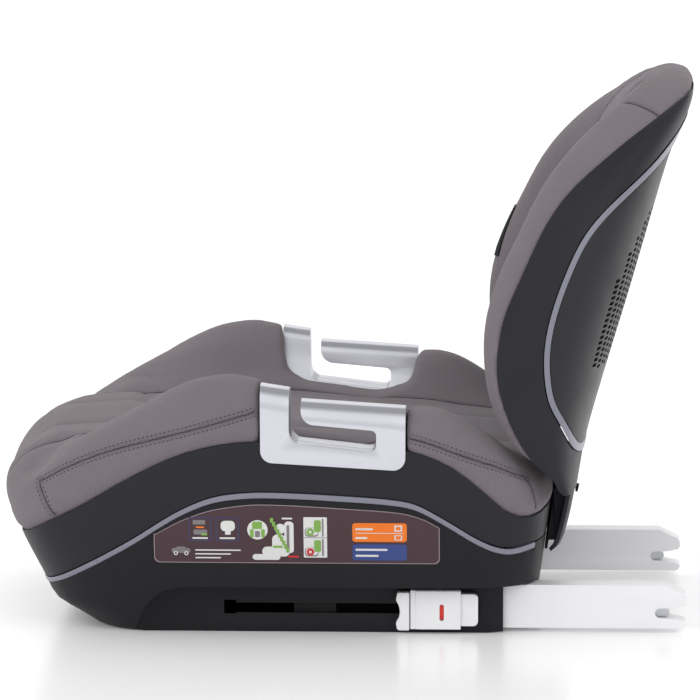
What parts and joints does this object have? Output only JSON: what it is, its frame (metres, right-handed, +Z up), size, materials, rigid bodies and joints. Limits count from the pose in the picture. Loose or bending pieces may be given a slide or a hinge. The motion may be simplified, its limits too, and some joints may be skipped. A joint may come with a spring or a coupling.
{
  "type": "booster seat",
  "caption": "Child's booster seat with padded bolsters, armrest belt guides, a low reclining backrest and sliding anchor connectors.",
  "frame": {"origin": "on the floor under the centre of the whole seat's box", "axes": "+Z up, -Y towards the front of the seat, +X to the child's left"},
  "size_m": [0.415, 0.5689, 0.4535],
  "materials": {
    "shell_black": "fine moulded texture, near-black",
    "trim_grey": "satin lilac-grey strip",
    "cover_fabric": "warm grey ribbed weave over foam",
    "guide_silver": "satin silver paint",
    "connector_white": "smooth white",
    "steel": "zinc-plated",
    "label_brown": "printed film, brown ground",
    "signal_red": "bright red",
    "tag_black": "woven tag, blank"
  },
  "bodies": {
    "base": {"base_shell": "shell_black", "seat_shell": "shell_black", "seat_cushion": "cover_fabric", "front_trim": "trim_grey", "side_trim_left": "trim_grey", "side_trim_right": "trim_grey", "info_label_left": "label_brown", "info_label_right": "label_brown", "belt_guide_left": "guide_silver", "belt_guide_right": "guide_silver", "belt_guide_inner_left": "guide_silver", "belt_guide_inner_right": "guide_silver", "guide_rail_left": "steel", "guide_rail_right": "steel", "rail_crossbar": "steel", "hinge_bracket_left": "steel", "hinge_bracket_right": "steel", "hinge_pin_left": "steel", "hinge_pin_right": "steel", "base_screw_1": "steel", "base_screw_2": "steel", "base_screw_3": "steel", "base_screw_4": "steel"},
    "backrest": {"backrest_shell": "shell_black", "backrest_panel": "shell_black", "backrest_trim": "trim_grey", "backrest_cushion": "cover_fabric", "backrest_tag": "tag_black", "hinge_arm_left": "steel", "hinge_arm_right": "steel", "backrest_screw_left": "steel", "backrest_screw_right": "steel"},
    "connector_left": {"connector_housing_left": "connector_white", "connector_core_left": "steel", "slider_link_left": "steel", "slider_block_left": "connector_white", "slider_grip_left": "connector_white", "hook_pin_left": "steel"},
    "button_left": {"release_button_left": "connector_white"},
    "pusher_left": {"bar_pusher_left": "steel"},
    "hook_left": {"latch_hook_left": "steel"},
    "indicator_left": {"lock_indicator_left": "signal_red"},
    "connector_right": {"connector_housing_right": "connector_white", "connector_core_right": "steel", "slider_link_right": "steel", "slider_block_right": "connector_white", "slider_grip_right": "connector_white", "hook_pin_right": "steel"},
    "button_right": {"release_button_right": "connector_white"},
    "pusher_right": {"bar_pusher_right": "steel"},
    "hook_right": {"latch_hook_right": "steel"},
    "indicator_right": {"lock_indicator_right": "signal_red"}
  },
  "joints": [
    {"name": "backrest_tilt", "type": "hinge", "parent": "base", "child": "backrest", "pos_m": [0, 0.1735, 0.085], "axis": [-1, 0, 0], "range_deg": [0, 8]},
    {"name": "connector_slide_left", "type": "slide", "parent": "base", "child": "connector_left", "axis": [0, -1, 0], "range_m": [0, 0.135]},
    {"name": "button_press_left", "type": "slide", "parent": "connector_left", "child": "button_left", "axis": [0, -1, 0], "range_m": [0, 0.005], "stiffness_N_per_m": 400},
    {"name": "pusher_press_left", "type": "slide", "parent": "connector_left", "child": "pusher_left", "axis": [0, -1, 0], "range_m": [0, 0.009], "stiffness_N_per_m": 300},
    {"name": "hook_turn_left", "type": "hinge", "parent": "connector_left", "child": "hook_left", "pos_m": [0.14, 0.248, 0.03], "axis": [-1, 0, 0], "range_deg": [0, 30]},
    {"name": "indicator_slide_left", "type": "slide", "parent": "connector_left", "child": "indicator_left", "axis": [0, -1, 0], "range_m": [0, 0.004]},
    {"name": "connector_slide_right", "type": "slide", "parent": "base", "child": "connector_right", "axis": [0, -1, 0], "range_m": [0, 0.135]},
    {"name": "button_press_right", "type": "slide", "parent": "connector_right", "child": "button_right", "axis": [0, -1, 0], "range_m": [0, 0.005], "stiffness_N_per_m": 400},
    {"name": "pusher_press_right", "type": "slide", "parent": "connector_right", "child": "pusher_right", "axis": [0, -1, 0], "range_m": [0, 0.009], "stiffness_N_per_m": 300},
    {"name": "hook_turn_right", "type": "hinge", "parent": "connector_right", "child": "hook_right", "pos_m": [-0.14, 0.248, 0.03], "axis": [-1, 0, 0], "range_deg": [0, 30]},
    {"name": "indicator_slide_right", "type": "slide", "parent": "connector_right", "child": "indicator_right", "axis": [0, -1, 0], "range_m": [0, 0.004]}
  ],
  "couplings": [
    {"joint": "hook_turn_left", "follows": "pusher_press_left", "rad_per_m": 58},
    {"joint": "indicator_slide_left", "follows": "pusher_press_left", "ratio": 0.44},
    {"joint": "hook_turn_right", "follows": "pusher_press_right", "rad_per_m": 58},
    {"joint": "indicator_slide_right", "follows": "pusher_press_right", "ratio": 0.44}
  ]
}
